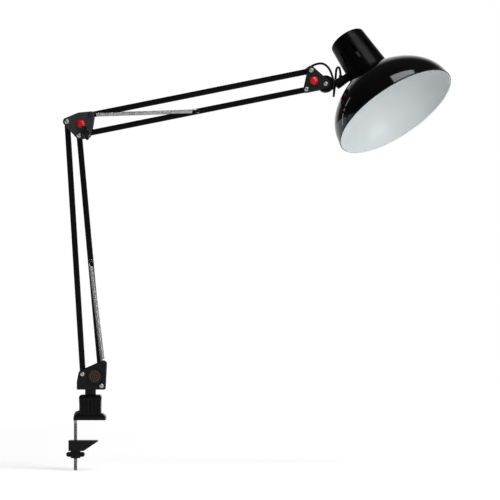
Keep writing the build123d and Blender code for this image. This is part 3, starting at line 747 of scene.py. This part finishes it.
# Lead over the head joint
class LAMP_OT_lead(bpy.types.Operator):
    """Runs the lead from the grommet in the top tube round the head joint to the gland on the neck"""

    bl_idname = "lamp.lead"
    bl_label = "Run the lead"

    curve_steps = 12
    roundness = 4
    # Control points, in millimetres
    route = [
        (308.197, 0.0, 493.911),
        (310.645, 0.0, 495.646),
        (317.0, -2.0, 498.2),
        (325.5, -5.5, 498.8),
        (333.5, -10.5, 492.5),
        (338.2, -14.2, 481.0),
        (340.8, -15.2, 468.5),
        (340.6, -11.0, 456.5),
        (340.4, 0.0, 451.8),
        (341.0, 11.0, 456.5),
        (342.6, 15.2, 468.0),
        (343.6, 15.0, 480.5),
        (344.4, 13.4, 493.4),
        (348.6, 2.0, 494.0),
        (349.941, 0.0, 485.336),
        (350.093, 0.0, 482.34),
    ]

    def execute(self, context):
        lead = context.scene.lamp_lead
        line = line_through("lead_line", [Vector(p) * MM for p in self.route], smooth=True)
        line.data.resolution_u = self.curve_steps
        points = run_points(line)
        bpy.data.objects.remove(line)
        cut = next(i for i in range(2, len(points)) if run_length(points[:i]) > lead.first_length)
        rubber = finish(
            "lead_rubber", lead.colour, (0.45, 0.6), grain=1400.0, patch=90.0, bump=0.2, specular=0.15
        )
        first = self.stretch("lead_over_bracket", points[:cut], lead.diameter, rubber)
        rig.blend(first, "upper_top", "head_bracket", start=points[0], end=points[cut * 2 // 3])
        second = self.stretch("lead_loop", points[cut - 1:], lead.diameter, rubber)
        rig.blend(second, "head_bracket", "knuckle", start=points[cut], end=points[-1])
        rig.replaces(second, "head_lead")
        for node in ("lead_grommet", "lead_gland"):
            dress(node, rubber)
        return {"FINISHED"}

    def stretch(self, name, points, diameter, rubber):
        """One stretch of the lead along points of its line."""
        piece = wire_mesh(line_through(name, points, smooth=False), diameter, self.roundness)
        piece.data.materials.append(rubber)
        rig.slot(piece, "lead_rubber")
        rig.cord(
            piece,
            exit=points[0],
            length=run_length(points),
            diameter=diameter,
            far_end="object",
            stiffness="medium",
            lay="loose",
            path=points,
        )
        return piece


# Springs
class LAMP_OT_springs(bpy.types.Operator):
    """Winds the two tension springs of each arm between their pins"""

    bl_idname = "lamp.springs"
    bl_label = "Wind the springs"

    curve_steps = 2
    roundness = 2
    # Control points in a turn, and those that the hooks and the coil's start take
    coil_steps = 8
    first_hook = range(1, 7)
    coil_start = 5
    last_hook = range(-2, 4)
    # Share of its length over which a spring leaves the bracket's motion for the tube's
    lower_share = 0.5
    upper_share = 0.22

    def execute(self, context):
        springs = context.scene.lamp_springs
        colour = context.scene.lamp_finishes.steel
        steel = finish("spring_steel", colour, (0.2, 0.32), metallic=1.0, grain=1600.0, bump=0.05)
        post, pin = self.on_plane("lower_spring_posts"), self.on_plane("lower_spring_pin")
        for piece in self.pair(springs, "lower", post, springs.post, pin, steel):
            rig.blend(piece, "turret", "lower_front", start=post, end=post.lerp(pin, self.lower_share))
        spacer, pin = pivot("upper_arm_tilt"), self.on_plane("upper_spring_pin")
        for piece in self.pair(springs, "upper", spacer, springs.spacer, pin, steel):
            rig.blend(piece, "elbow", "upper_bottom", start=spacer, end=spacer.lerp(pin, self.upper_share))
        return {"FINISHED"}

    def on_plane(self, node):
        """Centre of a pin in the plane of the arms."""
        place = middle(node)
        return Vector((place.x, 0, place.z))

    def pair(self, springs, arm, start, start_diameter, end, steel):
        """Makes the springs on both sides of one arm's tube, one after the other."""
        for side, face in ((-1, "front"), (1, "rear")):
            shift = Vector((0, side * springs.depth, 0))
            points = [p + shift for p in self.wire_points(springs, start, start_diameter, end)]
            line = line_through(f"{arm}_{face}_coil", points, smooth=True)
            line.data.resolution_u = self.curve_steps
            piece = wire_mesh(line, springs.wire, self.roundness)
            piece.data.materials.append(steel)
            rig.replaces(piece, f"{arm}_spring_{face}")
            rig.slot(piece, "steel")
            yield piece

    def wire_points(self, springs, start, start_diameter, end):
        """Control points of a hooked coil from a post or spacer to a pin."""
        along = (end - start).normalized()
        depth = Vector((0, 1, 0))
        across = depth.cross(along)
        step = 2 * math.pi / self.coil_steps
        # Control points stand out by this much, because a smooth line runs inside them
        draw = (1 + 3 / math.cos(step / 2)) / 4
        coil = (springs.diameter - springs.wire) / 2 * draw
        body = (end - start).length - 2 * springs.neck
        count = round(body / springs.pitch) * self.coil_steps

        def hook(centre, diameter, turns):
            radius = (diameter / 2 + springs.play + springs.wire / 2) * draw
            for i in turns:
                yield centre + (along * math.cos(i * step) + across * math.sin(i * step)) * radius

        points = list(hook(start, start_diameter, self.first_hook))
        for i in range(count + 1):
            turn = (i + self.coil_start) * step
            out = across * math.cos(turn) + depth * math.sin(turn)
            points.append(start + along * (springs.neck + body * i / count) + out * coil)
        points += hook(end, springs.pin, self.last_hook)
        return points


# Shade
class LAMP_OT_shade(bpy.types.Operator):
    """Spins the dome of the shade, gives it its wall and rolls its rim"""

    bl_idname = "lamp.shade"
    bl_label = "Spin the shade"

    profile_steps = 28
    spin_steps = 144
    bead_steps = 16
    crease_degrees = 40
    seam_reach = 0.01 * MM

    def execute(self, context):
        shade, finishes = context.scene.lamp_shade, context.scene.lamp_finishes
        put_down()
        bpy.ops.curve.primitive_bezier_curve_add()
        profile = context.object
        profile.name = "shade_skin"
        profile.data.resolution_u = self.profile_steps
        crown, rim = profile.data.splines[0].bezier_points
        fall = Vector((math.cos(shade.crown_slope), 0, -math.sin(shade.crown_slope)))
        self.knot(crown, Vector((shade.crown_radius, 0, shade.height)), fall * shade.crown_pull)
        self.knot(rim, Vector((shade.radius, 0, 0)), Vector((0, 0, -shade.rim_pull)))
        skin = as_mesh(profile)
        self.spin(skin, shade)
        wall = skin.modifiers.new("wall", "SOLIDIFY")
        wall.thickness = shade.wall
        wall.offset = -1.0
        wall.material_offset = 1
        gloss = finish(
            "shade_gloss", finishes.gloss, (0.05, 0.12), grain=300.0, patch=18.0, bump=0.01, specular=0.25
        )
        enamel = finish(
            "shade_enamel", finishes.enamel, (0.3, 0.42), grain=500.0, patch=14.0, bump=0.03, vary=0.02
        )
        for material in (gloss, enamel):
            skin.data.materials.append(material)
        apply_modifiers(skin)
        self.roll_rim(skin, shade)
        foot = Vector(MOUNTS["lamp_socket"]["pos_m"]) - HEAD_UP * shade.socket_height
        side = HEAD_UP.cross(NECK_ALONG)
        turn = Matrix((NECK_ALONG, side, HEAD_UP)).transposed().to_4x4()
        settle(skin, Matrix.Translation(foot) @ turn)
        smooth_faces(skin, self.crease_degrees)
        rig.ride(skin, "head")
        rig.replaces(skin, "shade")
        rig.slot(skin, "shade_black")
        return {"FINISHED"}

    def knot(self, point, place, pull):
        """One end of the profile with its handles."""
        point.handle_left_type = point.handle_right_type = "FREE"
        point.co = place
        point.handle_left = place - pull
        point.handle_right = place + pull

    def spin(self, skin, shade):
        """Dome from the profile, with the flat crown round the hole."""
        pick_up(skin)
        bpy.ops.object.mode_set(mode="EDIT")
        bpy.ops.mesh.select_all(action="DESELECT")
        bpy.ops.object.mode_set(mode="OBJECT")
        top = max(skin.data.vertices, key=lambda vertex: vertex.co.z)
        top.select = True
        bpy.ops.object.mode_set(mode="EDIT")
        bpy.ops.mesh.extrude_region_move(
            TRANSFORM_OT_translate={"value": (shade.hole_radius - shade.crown_radius, 0, 0)}
        )
        spin_round(self.spin_steps, self.seam_reach)

    def roll_rim(self, skin, shade):
        """Rolled bead joined to the rim, black outside and white inside."""
        bead_line = shade.radius - shade.wall / 2
        put_down()
        bpy.ops.mesh.primitive_torus_add(
            major_segments=self.spin_steps,
            minor_segments=self.bead_steps,
            major_radius=bead_line,
            minor_radius=shade.bead,
        )
        bead = bpy.context.object
        for material in skin.data.materials:
            bead.data.materials.append(material)
        for face in bead.data.polygons:
            face.material_index = 0 if face.center.xy.length > bead_line else 1
        join([skin, bead])


# Hook bolt of the clamp
class LAMP_OT_rod(bpy.types.Operator):
    """Bends the hook bolt and cuts its thread"""

    bl_idname = "lamp.rod"
    bl_label = "Thread the hook bolt"

    round_steps = 32
    bend_steps = 10
    thread_steps = 20
    crease_degrees = 35
    # Depth of a metric thread, as a share of its pitch
    thread_depth = 0.6134
    # Section of the ridge: depth as a share of the thread's, and height in eighths of the pitch
    ridge = [(1, 0), (1, 1), (0, 3.5), (0, 4.5), (1, 7), (1, 8)]

    def execute(self, context):
        rod = context.scene.lamp_rod
        low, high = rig.box("hook_bolt")
        axis = Vector((low.x + rod.diameter / 2, 0, 0))
        bend = high.z - rod.diameter / 2 - rod.bend_radius
        thread_top = bend - rod.plain_length
        hook = self.hook(rod, axis, bend, thread_top, high.x)
        thread = self.thread(rod, thread_top - low.z)
        core = self.core(rod, thread_top - low.z)
        for piece in (thread, core):
            settle(piece, Matrix.Translation(axis + Vector((0, 0, low.z))))
        piece = join([hook, thread, core])
        piece.name = "threaded_hook"
        smooth_faces(piece, self.crease_degrees)
        colour = context.scene.lamp_finishes.zinc
        zinc = finish("zinc_steel", colour, (0.2, 0.3), metallic=1.0, grain=1800.0, bump=0.03, edge=0.1)
        piece.data.materials.append(zinc)
        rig.ride(piece, "clamp")
        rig.replaces(piece, "hook_bolt")
        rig.slot(piece, "steel")
        return {"FINISHED"}

    def hook(self, rod, axis, bend, thread_top, tip):
        """Plain shank, bend and arm of the hook."""
        put_down()
        bpy.ops.mesh.primitive_circle_add(
            vertices=self.round_steps,
            radius=rod.diameter / 2,
            location=(axis.x, 0, thread_top),
            fill_type="NGON",
        )
        hook = bpy.context.object
        bpy.ops.object.transform_apply(location=True)
        bpy.ops.object.mode_set(mode="EDIT")
        bpy.ops.mesh.select_all(action="SELECT")
        bpy.ops.mesh.extrude_region_move(TRANSFORM_OT_translate={"value": (0, 0, bend - thread_top)})
        centre = (axis.x + rod.bend_radius, 0, bend)
        bpy.ops.mesh.spin(steps=self.bend_steps, angle=-math.pi / 2, center=centre, axis=(0, 1, 0))
        reach = tip - axis.x - rod.bend_radius
        bpy.ops.mesh.extrude_region_move(TRANSFORM_OT_translate={"value": (reach, 0, 0)})
        close_mesh(WELD_REACH)
        return hook

    def thread(self, rod, length):
        """Ridge of the thread, wound up from the rod's end."""
        depth = self.thread_depth * rod.pitch
        section = [(rod.diameter / 2 - sunk * depth, rise * rod.pitch / 8) for sunk, rise in self.ridge]
        thread = outline_mesh("thread", section)
        winding = thread.modifiers.new("winding", "SCREW")
        winding.screw_offset = rod.pitch
        winding.steps = winding.render_steps = self.thread_steps
        winding.iterations = int(length / rod.pitch) - 1
        apply_modifiers(thread)
        bpy.ops.object.mode_set(mode="EDIT")
        close_mesh(WELD_REACH)
        return thread

    def core(self, rod, length):
        """Core under the thread, with a chamfered end."""
        root = rod.diameter / 2 - self.thread_depth * rod.pitch
        chamfer = rod.pitch / 2
        outline = [(0, 0), (root - chamfer, 0), (root, chamfer), (root, length), (0, length)]
        return turn_outline("core", outline, self.round_steps)


# Roundel of the turret
class LAMP_OT_roundel(bpy.types.Operator):
    """Turns the plain ringed roundel on the turret's front plate"""

    bl_idname = "lamp.roundel"
    bl_label = "Turn the roundel"

    turn_steps = 96
    bead_segments = 12
    bead_rings = 8
    crease_degrees = 30
    # Heights as shares of the thickness; bronze shows between two of them
    face_height = 0.5
    crest_height = 0.85
    bronze_from = 0.55
    bronze_to = 0.95
    # Radii and widths as shares of the step from ring to ring
    outside_steps = 1.5
    boss_crest = 0.3
    boss_foot = 0.4
    ring_crest = 0.18
    ring_foot = 0.25
    rim_width = 0.4
    rim_slope = 0.1
    bead_radius = 0.22
    bead_shift = 0.67

    def execute(self, context):
        roundel, colours = context.scene.lamp_roundel, context.scene.lamp_finishes
        disc = turn_outline("ringed_roundel", self.outline(roundel), self.turn_steps)
        piece = join([disc, self.beads(roundel)])
        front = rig.box("turret_roundel")[0].y
        centre = middle("turret_roundel")
        place = Vector((centre.x, front + roundel.thickness, centre.z))
        settle(piece, Matrix.Translation(place) @ Matrix.Rotation(math.pi / 2, 4, "X"))
        smooth_faces(piece, self.crease_degrees)
        bronze = finish(
            "roundel_bronze", colours.bronze, (0.28, 0.42), metallic=1.0, grain=1500.0, patch=300.0, vary=0.5
        )
        dark = finish("roundel_face", colours.plastic, (0.3, 0.4), grain=1500.0, bump=0.15, specular=0.2)
        for material in (bronze, dark):
            piece.data.materials.append(material)
        for face in piece.data.polygons:
            raised = 1 - (face.center.y - front) / roundel.thickness
            face.material_index = 0 if self.bronze_from < raised < self.bronze_to else 1
        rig.ride(piece, "turret")
        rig.replaces(piece, "turret_roundel")
        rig.slot(piece, "roundel_bronze")
        return {"FINISHED"}

    def ring_step(self, roundel):
        """Step from ring to ring."""
        return roundel.radius / (roundel.ring_count + self.outside_steps)

    def outline(self, roundel):
        """Half section: boss, raised rings and rim over a sunk face."""
        step, top = self.ring_step(roundel), roundel.thickness
        face, crest = self.face_height * top, self.crest_height * top
        outline = [(0, crest), (self.boss_crest * step, crest), (self.boss_foot * step, face)]
        flank = [(self.ring_foot, face), (self.ring_crest, crest)]
        for ring in range(1, roundel.ring_count + 1):
            outline += [((ring - shift) * step, height) for shift, height in flank]
            outline += [((ring + shift) * step, height) for shift, height in reversed(flank)]
        rim = roundel.radius - self.rim_width * step
        outline += [(rim, face), (rim + self.rim_slope * step, top), (roundel.radius, top)]
        return outline + [(roundel.radius, 0), (0, 0)]

    def beads(self, roundel):
        """Beads on the face between the last ring and the rim."""
        step = self.ring_step(roundel)
        out = (roundel.ring_count + self.bead_shift) * step
        put_down()
        bpy.ops.mesh.primitive_uv_sphere_add(
            segments=self.bead_segments,
            ring_count=self.bead_rings,
            radius=self.bead_radius * step,
            location=(out, 0, self.face_height * roundel.thickness),
        )
        beads = bpy.context.object
        bpy.ops.object.transform_apply(location=True)
        bpy.ops.object.mode_set(mode="EDIT")
        bpy.ops.mesh.select_all(action="SELECT")
        bpy.ops.mesh.spin(
            steps=roundel.bead_count - 1,
            dupli=True,
            angle=2 * math.pi * (1 - 1 / roundel.bead_count),
            center=(0, 0, 0),
            axis=(0, 0, 1),
        )
        bpy.ops.object.mode_set(mode="OBJECT")
        return beads


# Finishes of the solids
class LAMP_OT_finishes(bpy.types.Operator):
    """Gives every solid that stays visible its finish"""

    bl_idname = "lamp.finishes"
    bl_label = "Finish the solids"

    def execute(self, context):
        colours = context.scene.lamp_finishes
        plastic = finish(
            "moulded_plastic", colours.plastic, (0.22, 0.32), grain=1100.0, bump=0.06, specular=0.15
        )
        plate = finish("satin_plate", colours.charcoal, (0.42, 0.55), grain=1300.0, bump=0.1, specular=0.2)
        # Painted light: a lighter copy of the plate finish, standing in for light on the elbow
        painted_light_slate = finish("painted_light_slate_plate", colours.painted_light_slate, (0.42, 0.55), grain=1300.0, bump=0.1, specular=0.2)
        paint = finish("satin_paint", colours.paint, (0.24, 0.34), grain=1500.0, bump=0.05, specular=0.12)
        black = finish("housing_black", colours.gloss, (0.2, 0.28), grain=1500.0, bump=0.03, specular=0.04)
        glossy = finish(
            "polished_plastic", colours.plastic, (0.14, 0.2), grain=900.0, bump=0.04, specular=0.5
        )
        steel = finish("bright_steel", colours.steel, (0.28, 0.4), metallic=1.0, grain=1800.0, bump=0.03)
        red = finish(
            "red_gloss", colours.red, (0.22, 0.26), grain=500.0, bump=0.005, vary=0.04, specular=0.3
        )
        brass = finish("brass", colours.brass, (0.22, 0.36), metallic=1.0, grain=1800.0, bump=0.04)
        ceramic = finish("ceramic", colours.ceramic, (0.3, 0.4), grain=700.0, bump=0.05, vary=0.04)
        swivel = ["swivel_stud", "swivel_nut"]
        wearing = {
            plastic: ["clamp_body", "wing_nut", "swivel_post", "knuckle", "shade_ring"],
            plate: ["clamp_jaw", "turret_rivets", "lower_spring_posts"],
            # The elbow's top bolt and nut also take the lighter plate finish, which is painted light
            painted_light_slate: ["elbow_top_bolt", "elbow_top_nut"],
            paint: ["lower_rear_bar", "lower_front_bar", "upper_top_bar", "upper_bottom_bar"],
            black: ["socket_housing", "housing_base"],
            glossy: ["elbow_knob", "lower_spring_pin", "upper_spring_pin"],
            steel: ["elbow_knob_bolt", "tilt_bolt", "tilt_nut", "housing_screws", *swivel],
            red: ["elbow_caps", "head_caps"],
            brass: ["wing_nut_insert", "screw_shell", "centre_contact"],
            ceramic: ["lampholder"],
        }
        for bracket, cover in (("turret", plate), ("elbow", painted_light_slate), ("head", plate)):
            wearing[cover] += [f"{bracket}_plate_front", f"{bracket}_plate_rear", f"{bracket}_spacers"]
            wearing[steel] += [f"{bracket}_bolts", f"{bracket}_nuts", f"{bracket}_tie"]
        for material, nodes in wearing.items():
            for node in nodes:
                dress(node, material)
        return {"FINISHED"}


class LAMP_PT_bench(bpy.types.Panel):
    """Steps that dress the lamp"""

    bl_idname = "LAMP_PT_bench"
    bl_label = "Architect lamp"
    bl_space_type = "VIEW_3D"
    bl_region_type = "UI"
    bl_category = "Lamp"

    def draw(self, context):
        for step in STEPS:
            self.layout.operator(step.bl_idname)


SETTINGS = {
    "lamp_stage": LampStage,
    "lamp_lead": LampLead,
    "lamp_springs": LampSprings,
    "lamp_shade": LampShade,
    "lamp_rod": LampRod,
    "lamp_roundel": LampRoundel,
    "lamp_finishes": LampFinishes,
}
STEPS = [
    LAMP_OT_stage,
    LAMP_OT_lead,
    LAMP_OT_springs,
    LAMP_OT_shade,
    LAMP_OT_rod,
    LAMP_OT_roundel,
    LAMP_OT_finishes,
]


def register():
    for name, settings in SETTINGS.items():
        bpy.utils.register_class(settings)
        setattr(bpy.types.Scene, name, bpy.props.PointerProperty(type=settings))
    for step in STEPS:
        bpy.utils.register_class(step)
    bpy.utils.register_class(LAMP_PT_bench)


def unregister():
    bpy.utils.unregister_class(LAMP_PT_bench)
    for step in reversed(STEPS):
        bpy.utils.unregister_class(step)
    for name, settings in SETTINGS.items():
        delattr(bpy.types.Scene, name)
        bpy.utils.unregister_class(settings)


def main():
    register()
    bpy.ops.lamp.stage()
    bpy.ops.lamp.lead()
    bpy.ops.lamp.springs()
    bpy.ops.lamp.shade()
    bpy.ops.lamp.rod()
    bpy.ops.lamp.roundel()
    bpy.ops.lamp.finishes()
    put_down()
    visible_box = [list(corner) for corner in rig.bounds()]
    with open(SIZE_FILE, "w") as size_file:
        json.dump({"solids": SOLIDS_BOX, "visible": visible_box}, size_file)


if __name__ == "__main__":
    main()
